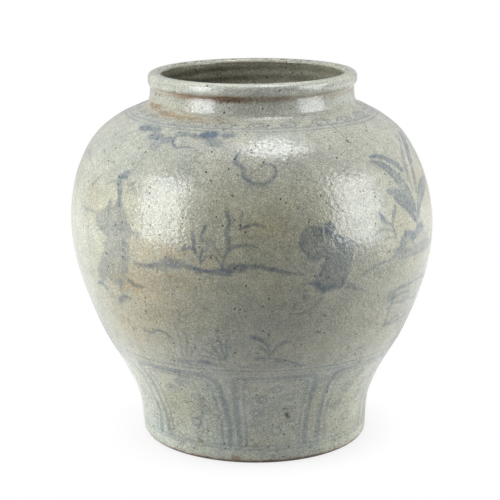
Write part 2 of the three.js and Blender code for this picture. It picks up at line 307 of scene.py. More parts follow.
ROCK_SLOPE = [
    ("dab", 5.5, 0.78, [(50.8, 203.8), (51.7, 207.3), (53.4, 210)]),
    ("dab", 6.5, 0.82, [(53.2, 210.8), (55.8, 209.4), (58.2, 206.8)]),
    ("dab", 5.5, 0.78, [(57.6, 207), (60.2, 209.6), (62.4, 212.4), (65, 213)]),
    ("dab", 4.5, 0.7, [(47.8, 198), (49.9, 198.8), (52.2, 200.8), (53.4, 203.4)]),
    ("fill", 1.4, 0.42, [
        (48.3, 194), (48.6, 201), (51.9, 207), (57.7, 206.5), (65.4, 208), (70, 203), (72, 194),
        (62.7, 195), (54.5, 196)]),
    ("fill", 1.4, 0.66, [
        (47, 196), (47.4, 200.2), (49.9, 200.8), (52.6, 197.5), (57.4, 195.5), (63.4, 196), (69.8, 196.4),
        (75, 194), (80, 190), (76, 186.4), (70.4, 186.8), (63.9, 187.8), (57.7, 189), (52.8, 189.2),
        (47.1, 190.8), (43, 190), (39.7, 188.2), (36.2, 185.2), (34, 182.4), (34.3, 185.2), (38, 189),
        (42.1, 192.2), (45.6, 192)]),
    ("fill", 1, 0.22, [(38, 186), (47, 190), (60, 191), (70, 192), (66, 185), (48, 183)]),
]
LOW_TABLE = [
    ("line", 2.2, 0.81, [(47, 160.6), (54.9, 161.8), (60.6, 162.4), (67.7, 161.6), (78.4, 158)]),
    ("fill", 1.2, 0.81, [
        (46.8, 160.4), (50.8, 159.4), (51.4, 154), (50.2, 151.4), (47.6, 152.4), (46.6, 155.4)]),
    ("line", 1.9, 0.74, [(49.9, 152.6), (53, 155), (56, 155.4), (60, 153.6)]),
    ("line", 1.8, 0.61, [(50.2, 149), (55, 147), (62, 145.6), (70, 142)]),
    ("line", 2.2, 0.68, [(50, 152), (50.1, 138), (50, 126.5)]),
    ("line", 2, 0.61, [(49.6, 127), (60, 127.8), (72, 128.6), (79, 127.6)]),
]
FIELD_LEFT = [
    ("brush", 2.6, 0.75, [
        (-38.7, 129.6), (-36.3, 127.8), (-34.2, 130.2), (-32, 132), (-30, 131.2), (-29, 128.3),
        (-27.8, 124.3)]),
    ("dab", 2.4, 0.4, [(-37, 123.6), (-37.4, 125)]),
    ("fill", 1.2, 0.46, [
        (-32, 101.4), (-27, 104.8), (-20, 107.4), (-15, 106.6), (-10, 105), (-9, 101), (-20, 100)]),
    ("dab", 4.4, 0.78, [(-19, 106), (-15.8, 105.4)]),
    ("brush", 1.9, 0.6, [(-14.4, 126.6), (-12.4, 117), (-10.4, 108.6)]),
    ("brush", 1.8, 0.78, [(-11.2, 133), (-10.4, 121), (-9.9, 109)]),
    ("brush", 1.8, 0.78, [(-8.7, 133.4), (-8.9, 121), (-9.6, 109)]),
    ("brush", 1.7, 0.6, [(-7.4, 127), (-8.1, 118), (-9.4, 109)]),
    ("brush", 1.6, 0.55, [(-5.8, 118.6), (-7.4, 113), (-9.2, 108.6)]),
    ("brush", 1.8, 0.6, [(-17, 119.3), (-13.6, 114), (-10.2, 108.6)]),
    ("brush", 1.7, 0.55, [(-18.8, 112), (-14.4, 110.6), (-10.4, 108.2)]),
    ("dab", 3, 0.8, [(-9.6, 114), (-9.5, 110.6)]),
    ("brush", 1.8, 0.5, [(-25.6, 140), (-24.9, 124), (-25.2, 110)]),
    ("brush", 1.6, 0.45, [(-22.4, 134), (-22.6, 122), (-23.6, 110)]),
    ("brush", 1.6, 0.4, [(-19.4, 123), (-21, 115), (-23, 108)]),
    ("brush", 2.2, 0.3, [(-55, 105), (-50, 109), (-45, 112)]),
]
FIELD_RIGHT = [
    ("brush", 3.6, 0.94, [(-0.6, 133), (2, 130.6), (3.9, 127), (4.9, 122.6)]),
    ("brush", 2.6, 0.77, [(2.2, 124.8), (3.6, 120.6), (5, 116)]),
    ("brush", 4, 0.72, [(11.6, 127.6), (9.6, 126.4), (7.6, 122), (5.8, 116)]),
    ("brush", 2, 0.66, [(5.2, 126), (5.2, 118), (5.6, 109)]),
    ("brush", 1.6, 0.55, [(5.2, 139), (5, 131.6), (5.2, 125)]),
    ("dab", 5, 0.6, [(1.6, 111.6), (4.2, 110.6)]),
    ("dab", 4.4, 0.72, [(8, 108.8), (10.4, 108.6)]),
    ("brush", 3, 0.7, [(5.6, 111.4), (8.4, 110.6), (12, 107.6), (15.4, 104.4), (19, 101.6)]),
    ("fill", 1.2, 0.5, [
        (-6, 102.4), (0, 105.9), (7, 108.4), (13, 105), (19, 101.4), (14, 99.8), (2, 100)]),
]
PANEL_CENTRES = [9 + 40 * k for k in range(-4, 5)]
PANEL_SIDES = {  # outer lines of a lappet, from its centre: left side upwards, right side down
    9: [(-16, 18), (-16.6, 50), (-16.6, 76), (-16.2, 84), (-14.6, 88.8), (0, 89.8), (12.4, 89.8),
        (15.4, 87.4), (16.4, 81), (16.3, 50), (15.8, 18)],
    -31: [(-15.5, 18), (-17.3, 48), (-16.8, 64.7), (-17.7, 77), (-19, 85.5), (-18, 89.6), (-4, 90.6),
          (10.6, 90.4), (14.8, 87), (16.9, 81.3), (17.7, 73), (18.6, 56.3), (19.4, 35.5), (19.4, 18)],
    -71: [(-16.5, 18), (-16.6, 55), (-16.6, 82), (-14, 89), (0, 90), (9, 89.8), (13, 86), (15.2, 81),
          (17, 73), (17.3, 56), (18.4, 39.7), (17.7, 18)],
    49: [(-16.4, 18), (-16.8, 50), (-16.6, 80), (-14.8, 88), (-11, 90), (0, 90.4), (12, 89.8),
         (15.4, 86.6), (16.4, 80), (16.4, 50), (16.2, 18)],
}
PLAIN_SIDES = [(-16.6, 18), (-16.8, 50), (-16.6, 78), (-14.8, 87.6), (-10, 89.8), (0, 90.2), (11, 89.6),
               (15.2, 86.6), (16.6, 78), (16.8, 50), (16.6, 18)]
PANEL_RING = {9: (1.5, 32), -31: (2.7, 37), 49: (1, 34), -71: (2, 36)}  # (degrees aside, level)
PANEL_SCROLLS = [  # (degrees aside, level, size, hand)
    (-5, 67, 15, 1), (6, 65, 14, -1), (0.5, 77, 12, 1), (-7, 49, 12, -1), (7, 51, 13, 1),
]
PANEL_FOOT = 18
INNER_WIDTH, INNER_HEIGHT = 0.79, 0.945  # the inner line of a panel, as shares of the outer one
BAND_RINGS = [  # (level, width, strength, waver, phase)
    (304, 1.4, 0.62, 0.25, 0.4), (302.2, 1.4, 0.6, 0.25, 1.3), (97.8, 1.5, 0.55, 0.35, 2.1),
    (93.8, 1.4, 0.5, 0.4, 0.9), (17.2, 1.4, 0.45, 0.5, 1.7), (14, 1.5, 0.45, 0.5, 2.6),
]
SCROLL_LEVEL = 306.2
SCROLL_EVERY = 15
SCROLL_SIZES = (18, 23)
FAR_SIDE = [  # the garden again in another order, (strokes, degrees, lift, mirrored)
    (LOW_TABLE, 159, 0, True), (ROCK_SLOPE, 160, 0, True), (PLANTAIN, 252, -2, True),
    (SPRIG, 160, -1, True), (ROBED_FIGURE, 98, 1, True), (GROUND_RISE, 172, -3, True),
    (GROUND_PLANTS, 176, -3, True), (SEATED_FIGURE, 205, 2, False), (GROUND_RISE, 262, 1, False),
    (GROUND_PLANTS, 268, 2, False), (CLOUD_HOOK, 96, 2, False), (CLOUD_HOOK, 166, 0, True),
    (CLOUD_HOOK, 222, -3, False), (SHOULDER_LEAVES, 148, 0, False), (SHOULDER_LEAVES, 212, 0, True),
]
FAR_FIELDS = (88, 150, 214, 268)
KILN_MARKS = [  # a hairline with its spot, a dark spot, a chip at the foot and two specks
    ("line", 0.7, 0.7, [(38, 304.6), (38.4, 300), (38.9, 296), (39.2, 292.4)]),
    ("dab", 2.2, 0.8, [(39.2, 293), (39.3, 291.6)]),
    ("dab", 3.5, 1.0, [(15.2, 48.7), (15.3, 47.3)]),
    ("dab", 2.2, 0.8, [(15.8, 46), (16.3, 44.8)]),
    ("fill", 1, 0.9, [(-11.9, 7.5), (-10.4, 9), (-9, 8), (-7.1, 5.5), (-8.3, 3), (-11.3, 3)]),
    ("dab", 1.3, 0.8, [(-28.4, 20.6), (-28, 19.8)]),
    ("dab", 1.5, 0.6, [(-26.8, 19.2), (-26, 19)]),
]
IRON_SPECKS = [  # the larger ones, (degrees, level)
    (-56, 282), (21.9, 204), (-49.2, 196), (-45, 222), (-12.5, 267), (23.5, 270), (49.5, 236.5),
    (36, 254), (45, 199), (-5.5, 256), (0.3, 288.6), (8.6, 292.4), (1.6, 293.4), (7.3, 289.8),
    (12.4, 280), (-4, 271.8), (-44, 286), (-47, 262),
]
SPECK_COUNT = 90
SPECK_LEVELS = (12, 322)
RIM_SPECK_LEVELS = (323.5, 328.4)

painting = []  # (channel, kind, width, strength, path), the path in degrees and arc lengths
PIGMENT, IRON, SPOT = range(3)


def brush(kind, width, strength, points, channel=PIGMENT, turn=0, lift=0, flip=False):
    """Adds one stroke, turned round the jar, lifted or mirrored."""
    path = np.array(points, float)
    path[:, 0] = path[:, 0] * (-1 if flip else 1) + turn
    path[:, 1] = arc_at(path[:, 1] + lift)
    if kind != "fill" and len(path) > 2:
        path = spline(path, 4)
    painting.append((channel, kind, width, strength, path))


def motif(strokes, **place):
    for kind, width, strength, points in strokes:
        brush(kind, width, strength, points, **place)


def spiral(turn, level, size, hand, strength, width=1.1, rise=0.8):
    """A small scroll curl, size millimetres across. A hand of -1 mirrors it, and a rise under 1
    flattens it."""
    radius, _ = outside_at(arc_at(level))
    angle = np.linspace(0, 3.6 * math.pi, 22)
    reach = size / 2 * (1 - 0.72 * angle / angle[-1])
    along = turn + hand * reach * np.cos(angle) / (radius * DEGREE)
    path = np.column_stack([along, arc_at(level) + rise * reach * np.sin(angle)])
    painting.append((PIGMENT, "line", width, strength, path))


def ring(level, width, strength, waver, phase):
    """A line round the whole jar, with the small waver of a hand-held brush."""
    turn = np.arange(-180, 181, 3.0)
    lift = waver * (np.sin(3 * turn * DEGREE + phase) + 0.6 * np.sin(7 * turn * DEGREE + 2 * phase))
    path = np.column_stack([turn, arc_at(level) + lift])
    painting.append((PIGMENT, "ring", width, strength, path))


def speck(turn, level, width, strength):
    """A round spot, as a dab with almost no length."""
    brush("dab", width, strength, [(turn, level), (turn + 0.1, level - 0.2)], SPOT)


def paint_bands(chance):
    """The rings round the jar, and the scrolls below the neck."""
    for band in BAND_RINGS:
        ring(*band)
    for count, turn in enumerate(range(-180, 180, SCROLL_EVERY)):
        aside = chance.uniform(-2, 2)
        size = chance.uniform(*SCROLL_SIZES)
        level = SCROLL_LEVEL + chance.uniform(-0.2, 0.2)
        hand = 1 if count % 3 else -1
        width = 1.15 if 0 <= turn <= 60 else 0.9
        spiral(turn + 4 + aside, level, size, hand, 0.95, width, 0.6)
        waves = [(turn + 9, 304.9), (turn + 11.5, 304.7), (turn + 13.6, 305.8), (turn + 15.4, 307.4)]
        brush("line", 0.9, 0.7, waves)


def paint_garden():
    for strokes in (CLOUD_HOOK, FAINT_CLOUD, SHOULDER_LEAVES, ROBED_FIGURE, GROUND_RISE, GROUND_PLANTS,
                    SEATED_FIGURE, PLANTAIN, SPRIG, ROCK_SLOPE, LOW_TABLE, FIELD_LEFT, FIELD_RIGHT):
        motif(strokes)
    for strokes, turn, lift, mirrored in FAR_SIDE:
        motif(strokes, turn=turn, lift=lift, flip=mirrored)
    for turn in FAR_FIELDS:
        motif(FIELD_LEFT, turn=turn)
        motif(FIELD_RIGHT, turn=turn + 6, flip=True)


def paint_panels(chance):
    """The upright panels round the foot, each with an inner line, a small ring and scrolls."""
    for centre in PANEL_CENTRES:
        sides = PANEL_SIDES.get(centre, PLAIN_SIDES)
        brush("line", 4.8, 0.62, sides, turn=centre)
        sag = chance.uniform(-0.4, 0.4)
        inner = [(x * INNER_WIDTH + sag, PANEL_FOOT + (z - PANEL_FOOT) * INNER_HEIGHT) for x, z in sides]
        brush("line", 2.0, 0.5, inner, turn=centre)
        aside, level = PANEL_RING.get(centre, (chance.uniform(-2, 3), chance.uniform(31, 38)))
        angles = np.linspace(0, 360, 13) * DEGREE
        oval = [(2.3 * math.sin(angle), level + 4 * math.cos(angle)) for angle in angles]
        brush("line", 1.5, 0.8, oval, turn=centre + aside)
        for x, z, size, hand in PANEL_SCROLLS:
            spiral(centre + x + chance.uniform(-1, 1), z + chance.uniform(-2, 2), size, hand, 0.75)


def paint_marks(chance):
    """Marks of the kiln, iron specks all round, more of them under the rim, and pits in the lip."""
    motif(KILN_MARKS, channel=SPOT)
    for turn, level in IRON_SPECKS:
        speck(turn, level, chance.uniform(1.1, 1.7), 0.95)
    for _ in range(SPECK_COUNT):
        turn, level = chance.uniform(-180, 180), chance.uniform(*SPECK_LEVELS)
        speck(turn, level, chance.uniform(0.6, 1.3), 0.85)
    for _ in range(SPECK_COUNT):
        turn, level = chance.normal(-12, 9), chance.uniform(*RIM_SPECK_LEVELS)
        speck(turn, level, chance.uniform(0.6, 1.2), 0.7)
    lip = ARC[-1] - LIP_DEPTH
    for turn in chance.uniform(-180, 180, SPECK_COUNT):
        size = chance.uniform(1.2, 2.2)
        end = turn + chance.uniform(0.3, 1.6)
        painting.append((SPOT, "dab", size, 0.9, np.array([(turn, lip - 0.4), (end, lip)])))


def paint_jar():
    chance = np.random.default_rng(7)
    paint_bands(chance)
    paint_garden()
    paint_panels(chance)
    paint_marks(chance)


# Soft iron stains: (degrees, level, half width in degrees, half height, strength)
STAINS = [
    (-68, 314, 18, 8, 1.0), (-50, 309.5, 14, 7, 0.9), (-34, 308.6, 14, 6, 0.85), (-18, 309, 12, 4, 0.7),
    (-14, 327, 12, 3.4, 1.0), (-36, 327, 13, 2.4, 0.7), (14, 327.2, 9, 2, 0.55), (42, 327, 12, 2, 0.3),
    (150, 327, 40, 2.4, 0.5), (-120, 327, 30, 2.2, 0.6),
    (-40, 172, 13, 20, 0.8), (-31, 150, 18, 22, 0.62), (-22, 184, 12, 14, 0.8), (-31, 207, 8, 10, 0.6),
    (-22, 208, 8, 12, 0.6), (-12, 203, 6, 8, 0.5), (-44, 130, 10, 20, 0.6), (-58, 240, 5, 16, 0.4),
    (-40, 52, 8, 24, 0.7), (-27, 60, 7, 18, 0.45), (-27.4, 18, 3, 4, 1.0), (-46, 34, 5, 16, 0.5),
    (46, 58, 8, 20, 0.35), (14, 60, 9, 14, 0.2), (-8, 4, 6, 4, 0.6), (28.5, 55, 2.4, 26, 0.35),
    (-10, 50, 2, 26, 0.3), (54, 214, 6, 20, 0.3), (68, 252, 5, 10, 0.4), (-20, 297, 5, 3, 0.4),
    (128, 70, 12, 24, 0.4), (178, 178, 20, 24, 0.5), (-120, 311, 30, 4, 0.5), (216, 58, 9, 20, 0.4),
    (60, 20, 12, 5, 0.3), (95, 311, 30, 4, 0.4), (-150, 150, 16, 20, 0.4), (5, 232, 7, 13, 0.45),
]


def smooth_edge(distance, softness):
    return 1 - smoothstep(distance, -softness, softness)


def cover_of(turn, arc):
    """Share of pigment, iron and spots at each place, and the distance to the nearest edge."""
    radius, _ = outside_at(arc)
    share = np.zeros((len(turn), 3))
    edge = np.full(len(turn), FAR)
    for channel, kind, width, strength, path in painting:
        centre = (path[:, 0].min() + path[:, 0].max()) / 2
        side = (turn - centre + 180) % 360 - 180
        margin = width / 2 + EDGE_REACH
        reach = (path[:, 0].max() - path[:, 0].min()) / 2 + margin / (radius * DEGREE)
        near = np.nonzero((np.abs(side) < reach) & (arc > path[:, 1].min() - margin)
                          & (arc < path[:, 1].max() + margin))[0]
        if not len(near):
            continue
        scale = radius[near, None] * DEGREE
        line = np.vstack([path, path[:1]]) if kind == "fill" else path
        ax, ay = (line[:-1, 0] - centre) * scale, line[None, :-1, 1]
        dx, dy = np.diff(line[:, 0]) * scale, np.diff(line[:, 1])[None]
        px, py = side[near, None] * scale, arc[near, None]
        t = np.clip(((px - ax) * dx + (py - ay) * dy) / (dx**2 + dy**2 + TINY), 0, 1)
        gap = np.hypot(px - ax - t * dx, py - ay - t * dy)
        nearest = gap.argmin(1)
        row = np.arange(len(near))
        along = (nearest + t[row, nearest]) / gap.shape[1]
        gap = gap[row, nearest]
        if kind == "fill":
            crosses = (ay > py) != (ay + dy > py)
            where = ax + (py - ay) / np.where(dy == 0, TINY, dy) * dx
            within = (crosses & (px < where)).sum(1) % 2 == 1
            distance = np.where(within, -gap, gap)
            pooled = 0.72 + 0.5 * np.exp(-gap / (1.3 * width))
            amount = strength * pooled * smooth_edge(distance, 1.0)
            edge[near] = np.minimum(edge[near], np.abs(distance))
        else:
            thick = width
            if kind == "brush":
                swell = 0.5 + 0.62 * np.sin(math.pi * np.clip(along, 0, 1) ** 0.7)
                thick = width * swell * (1.05 - 0.3 * along)
            distance = gap - thick / 2
            amount = strength * smooth_edge(distance, 0.3 + 0.2 * width)
            edge[near] = np.minimum(edge[near], np.maximum(distance, 0))
        share[near, channel] = 1 - (1 - share[near, channel]) * (1 - np.clip(amount, 0, 1))
    for at, level, wide, high, strength in STAINS:
        side = (turn - at + 180) % 360 - 180
        spread = (side / wide) ** 2 + ((arc - arc_at(level)) / high) ** 2
        share[:, IRON] = 1 - (1 - share[:, IRON]) * (1 - strength * np.exp(-spread))
    return share, edge


# Shapes
def turned(profile, steps, arcs=()):
    """A ring of revolution from a closed profile. The layer keeps the arc length of every
    vertex that lies on the painted outside, and -1 elsewhere."""
    shape = bmesh.new()
    layer = shape.verts.layers.float.new("arc")
    verts = []
    for index, (radius, level) in enumerate(profile):
        vert = shape.verts.new((0, -radius, level))
        vert[layer] = arcs[index] if index < len(arcs) else -1
        verts.append(vert)
    closed = profile[0][0] > 0.001
    ends = verts[1:] + (verts[:1] if closed else [])
    edges = [shape.edges.new(pair) for pair in zip(verts, ends)]
    bmesh.ops.spin(shape, geom=verts + edges, cent=(0, 0, 0), axis=(0, 0, 1), dvec=(0, 0, 0),
                   angle=2 * math.pi, steps=steps, use_merge=True, use_duplicate=False)
    bmesh.ops.remove_doubles(shape, verts=shape.verts, dist=0.0005)
    bmesh.ops.recalc_face_normals(shape, faces=shape.faces)
    return shape


def places_of(shape):
    """Angle in degrees, arc length and position of every vertex."""
    layer = shape.verts.layers.float["arc"]
    place = np.array([vert.co for vert in shape.verts])
    arc = np.array([vert[layer] for vert in shape.verts])
    turn = np.degrees(np.arctan2(place[:, 0], -place[:, 1]))
    return turn, arc, place


def refine(shape, splits):
    """Splits the painted faces near the edge of a stroke, and puts them back on the outline."""
    for reach in splits:
        turn, arc, _ = places_of(shape)
        painted = arc >= 0
        close = np.zeros(len(arc), bool)
        _, edge = cover_of(turn[painted], arc[painted])
        close[painted] = edge < reach
        shape.verts.ensure_lookup_table()
        shape.verts.index_update()
        chosen = [e for e in shape.edges if close[e.verts[0].index] and close[e.verts[1].index]
                  and e.calc_length() > SHORTEST]
        bmesh.ops.subdivide_edges(shape, edges=chosen, cuts=1, use_grid_fill=True, use_single_edge=True,
                                  quad_corner_type="INNER_VERT")
        turn, arc, _ = places_of(shape)
        radius, level = outside_at(arc)
        for vert, angle, at, r, z in zip(shape.verts, turn * DEGREE, arc, radius, level):
            if at >= 0:
                vert.co = (r * math.sin(angle), -r * math.cos(angle), z)


def spaced(start, end, wide, fine_ends=True):
    """Arc lengths from start to end, with a narrow first and last step."""
    first, last = (start + 0.3, end - 0.3) if fine_ends else (start, end)
    count = max(2, round((last - first) / wide) + 1)
    inner = np.linspace(first, last, count)
    return np.concatenate([[start], inner, [end]]) if fine_ends else inner


def uneven(place, arc):
    """The slight waver of a hand-thrown wall, which mostly goes inwards on the outside."""
    angle = np.arctan2(place[:, 0], -place[:, 1])
    level = place[:, 2]
    waver = 0.16 * np.sin(2 * angle + 0.6) + 0.1 * np.sin(3 * angle + level / 37) - 0.26
    waver += 0.07 * np.sin(level / 4.1 + angle) + 0.05 * np.sin(5 * angle - level / 11)
    ridges = 0.28 * np.sin(level / 1.55 + angle) + 0.2 * np.sin(level / 5.3 - 2 * angle)
    inner = (arc < 0) & (level > BASE_TOP + 3)
    change = np.where(arc >= 0, waver, np.where(inner, ridges * 0.8, 0))
    radius = np.hypot(place[:, 0], place[:, 1])
    share = (radius + change) / np.maximum(radius, 1e-6)
    moved = place.copy()
    moved[:, :2] *= share[:, None]
    return moved


def finish_piece(name, shape, materials, node, painted=False, pick=None):
    """Makes the object: settles the shape, keeps the painting on it and ties it to the frame.
    A painted piece also gets the uneven wall of a thrown one."""
    turn, arc, place = places_of(shape)
    decor = np.zeros((len(arc), 4))
    on_outside = arc >= 0
    decor[:, 3] = np.where(on_outside, smoothstep(arc, ARC[-1] - LIP_DEPTH, ARC[-1]), 1)
    if painted:
        decor[on_outside, :3], _ = cover_of(turn[on_outside], arc[on_outside])
        place = uneven(place, arc)
    mesh = bpy.data.meshes.new(name)
    shape.to_mesh(mesh)
    shape.free()
    mesh.vertices.foreach_set("co", (settled(place) * MM).astype(np.float32).ravel())
    mesh.attributes.remove(mesh.attributes["arc"])
    layer = mesh.attributes.new("decor", "FLOAT_COLOR", "POINT")
    layer.data.foreach_set("color", decor.astype(np.float32).ravel())
    for material in materials:
        mesh.materials.append(material)
    if pick:
        for face in mesh.polygons:
            face.material_index = pick(face)
    mesh.shade_smooth()
    mesh.set_sharp_from_angle(angle=SHARP)
    mesh.update()
    piece = bpy.data.objects.new(name, mesh)
    bpy.context.scene.collection.objects.link(piece)
    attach(piece, "root")
    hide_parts(node)
    return piece


def inside_wall(from_level, to_level, wall_at, spacing):
    """The inside of a wall, square to the outside, from one level down to another."""
    arcs = np.arange(arc_at(from_level), arc_at(to_level), -spacing)
    radius, level = outside_at(arcs)
    r_next, z_next = outside_at(arcs + 0.5)
    r_last, z_last = outside_at(arcs - 0.5)
    climb = np.column_stack([r_next - r_last, z_next - z_last])
    climb /= np.hypot(climb[:, 0], climb[:, 1])[:, None]
    wall = wall_at(level)
    return np.column_stack([radius - climb[:, 1] * wall, level + climb[:, 0] * wall])


def lower_wall(level):
    """Thickness of the lower wall, which thins from the foot up to the belly seam."""
    share = smoothstep(level, BASE_TOP - 2, BELLY_SEAM)
    return FOOT_WALL + (BODY_WALL - FOOT_WALL) * np.sqrt(share)


def upper_body():
    arcs = spaced(float(arc_at(BELLY_SEAM)), float(arc_at(SHOULDER_TOP)), OUTER_STEP)
    outer = np.column_stack(outside_at(arcs))
    seam = outer[0, 0]
    profile = np.vstack([
        outer,
        [(100, 306.7), (NECK_BORE, SHOULDER_TOP)],
        bend((NECK_BORE, 304.6), (NECK_BORE, 300.6), (90.5, 300.2), 5),
        inside_wall(SHOULDER_TOP - 1.2, BELLY_SEAM + 9, lambda level: BODY_WALL, SHOULDER_INNER_STEP),
        [(seam - BODY_WALL, BELLY_SEAM + 1), (seam - 1.2, BELLY_SEAM + 1), (seam - 1, BELLY_SEAM)],
    ])
    shape = turned(profile, AROUND, arcs)
    refine(shape, SHOULDER_SPLITS)
    return finish_piece("shoulder_section", shape, [PAINTED_GLAZE], "upper_body", True)


def lower_body():
    edge, seam_arc = 8, float(arc_at(BELLY_SEAM))
    arcs = np.concatenate([spaced(0, edge, 0.9, False), spaced(edge, seam_arc, OUTER_STEP)[1:]])
    outer = np.column_stack(outside_at(arcs))
    seam = outer[-1, 0]
    profile = np.vstack([
        outer,
        [(seam - 1, BELLY_SEAM), (seam - 1.2, BELLY_SEAM - 1), (seam - BODY_WALL, BELLY_SEAM - 1)],
        inside_wall(BELLY_SEAM - 9, 30, lower_wall, BELLY_INNER_STEP),
        [(DISC_SEAT + 1, BASE_TOP - 0.3), (DISC_SEAT, LEDGE_TOP)],
        [(FOOT_BORE + 0.6, LEDGE_TOP), (FOOT_BORE, LEDGE_TOP - 0.6)],
        bend((FOOT_BORE, 1.4), (FOOT_BORE, 0), (FOOT_BORE + 1.4, 0), 3),
        [(94, 0)],
    ])
    shape = turned(profile, BELLY_AROUND, arcs)
    refine(shape, BELLY_SPLITS)
    return finish_piece("belly_section", shape, [PAINTED_GLAZE], "lower_body", True)


def neck_collar():
    start, rim = float(arc_at(FILLET_TOP)), ARC[-1] - 12
    arcs = np.concatenate([spaced(start, rim, 1.2)[:-2], spaced(rim, ARC[-1], 0.7, False)])
    outer = np.column_stack(outside_at(arcs))
    bore = spline([(MOUTH_RADIUS, 336), (84.1, 328.6), (85.1, 318.6), (NECK_BORE, 310)], 7)[1:]
    profile = np.vstack([
        outer,
        bore,
        [(NECK_BORE + 0.4, 308.8), (93.6, 308.8), (93.8, 309.4), (92.8, FILLET_TOP - 0.9)],
    ])
    shape = turned(profile, AROUND, arcs)
    refine(shape, NECK_SPLITS)
    return finish_piece("neck_and_rim", shape, [PAINTED_GLAZE], "neck_collar", True)


def neck_slip():
    arcs = spaced(float(arc_at(SHOULDER_TOP)), float(arc_at(FILLET_TOP)), 1.0)
    outer = np.column_stack(outside_at(arcs))
    profile = np.vstack([
        outer,
        [(93.1, FILLET_TOP - 1), (94.1, 309.3), (94, 308.5), (NECK_BORE - 1, 308.4)],
        bend((NECK_BORE - 1.4, 308.3), (NECK_BORE - 2.4, 307.8), (NECK_BORE - 1.4, 307.3), 3),
        [(NECK_BORE - 1, 307.1), (104, 307.05)],
    ])
    shape = turned(profile, AROUND, arcs)
    refine(shape, NECK_SPLITS)
    return finish_piece("neck_slip", shape, [PAINTED_GLAZE], "neck_seam_slip", True)


def belly_slip():
    outer = float(outside_at(arc_at(BELLY_SEAM))[0])
    wall = outer - BODY_WALL - GAP
    low, high = BELLY_SEAM - 0.7, BELLY_SEAM + 0.7
    profile = np.vstack([
        [(outer - 1.6, low), (outer - 1.6, high), (wall, high), (wall, high + 4)],
        bend((wall - 1, high + 4.6), (wall - 4.2, BELLY_SEAM), (wall - 1, low - 4.6), 10),
        [(wall, low - 4), (wall, low)],
    ])
    shape = turned(profile, SLIP_AROUND)
    return finish_piece("belly_slip", shape, [SLIP_GLAZE], "belly_seam_slip")


def foot_slip():
    low, top = LEDGE_TOP + GAP, BASE_TOP
    profile = np.vstack([
        [(FOOT_BORE + 0.4, low), (DISC_SEAT - GAP, low), (DISC_SEAT + 0.7, top)],
        bend((94.3, top + 7), (91.2, top + 0.8), (83.2, top + 0.9), 8),
        [(83.2, top + 0.3), (92.8, top + 0.3), (91.8, low + 1.4), (FOOT_BORE + 0.4, low + 1.4)],
    ])
    shape = turned(profile, SLIP_AROUND)
    return finish_piece("foot_slip", shape, [SLIP_GLAZE], "base_seam_slip")


def foot_disc():
    """The disc that closes the foot, with the turning marks of its two faces."""
    across = np.linspace(0.6, 90.6, 61)
    top = BASE_TOP - 1.5 * (1 - (across / 92) ** 2) + 0.22 * np.sin(across / 1.35)
    under = DISC_BOTTOM + 0.35 * (1 - np.cos(across / 1.7)) * np.clip(across / 20, 0.2, 1)
    profile = np.vstack([
        [(0, DISC_BOTTOM + 0.1)],
        np.column_stack([across, under]),
        bend((91.2, DISC_BOTTOM), (91.5, DISC_BOTTOM), (91.5, DISC_BOTTOM + 0.5), 2),
        bend((92.4, BASE_TOP - 0.6), (92.4, BASE_TOP - 0.1), (91.8, BASE_TOP), 2),
        np.column_stack([across, top])[::-1],
        [(0, BASE_TOP - 1.5)],
    ])
    shape = turned(profile, DISC_AROUND)
    return finish_piece("foot_disc", shape, [BARE_CLAY, SLIP_GLAZE], "base_disc",
                        pick=lambda face: int(face.center.z > (BASE_TOP - 3) * MM))


# Finishes. Levels of the wall at which the glaze changes, and at which light and shade are painted, in
# metres as the shader reads them
# At the foot the glaze is cooler, and painted lighter as light from the floor
HEM_COOL_AND_PAINTED_LIGHT = (0.009, 0.02)
PANELS = (0.088, 0.112)
# Below the belly, where the wall faces down, the glaze is painted darker as shade
WAIST_PAINTED_SHADE = (0.14, 0.2)
SHOULDER = (0.235, 0.285)
NECK_ROOT = (0.29, 0.305)
NECK = (0.31, 0.318)
HAZE = (0.303, 0.316)
RIM_CREASE = 0.3266
SOLE = (0.0001, 0.0004)
# Bare clay at the bottom of the wall, painted very dark as shade where the foot meets the floor
BARE_EDGE_AND_PAINTED_SHADE = (-0.0006, 0.0014)
EDGE_FRINGE = (-0.0006, 0.003)
CHIP_TOP = (0.01, 0.012)
# The front of the neck, where its glaze is painted lighter than at the sides, as light
NECK_FRONT_PAINTED_LIGHT = (-0.092, -0.068)  # along Y
GLAZE_IOR = 1.6
HAZE_ROUGHNESS = 0.42
# Heights of the relief, in metres
GLAZE_RELIEF = 0.0004
SLIP_RELIEF = 0.00013
CLAY_RELIEF = 0.0002


def plug(tree, socket, value):
    """Links a socket to another node's output, or gives it a plain value."""
    if isinstance(value, bpy.types.NodeSocket):
        tree.links.new(value, socket)
    else:
        socket.default_value = value


def add(tree, kind, sockets=None, **settings):
    """Adds a shader node, with values or other nodes' outputs for its sockets."""
    made = tree.nodes.new("ShaderNode" + kind)
    for name, value in settings.items():
        setattr(made, name, value)
    for name, value in (sockets or {}).items():
        plug(tree, made.inputs[name], value)
    return made


def maths(tree, operation, *values):
    return add(tree, "Math", dict(enumerate(values)), operation=operation).outputs[0]


def blend(tree, factor, a, b, mode="MIX"):
    """Mixes two colours."""
    return add(tree, "Mix", {0: factor, 6: a, 7: b}, data_type="RGBA", blend_type=mode).outputs[2]


def multiplied(tree, color, by):
    return blend(tree, 1.0, color, by, "MULTIPLY")


def color_of(tree, red, green, blue):
    return add(tree, "CombineColor", {"Red": red, "Green": green, "Blue": blue}).outputs[0]


def axis(tree, place, name):
    return add(tree, "SeparateXYZ", {"Vector": place}).outputs[name]


def voronoi(tree, place, scale, feature="F1"):
    return add(tree, "TexVoronoi", {"Vector": place, "Scale": scale}, feature=feature).outputs


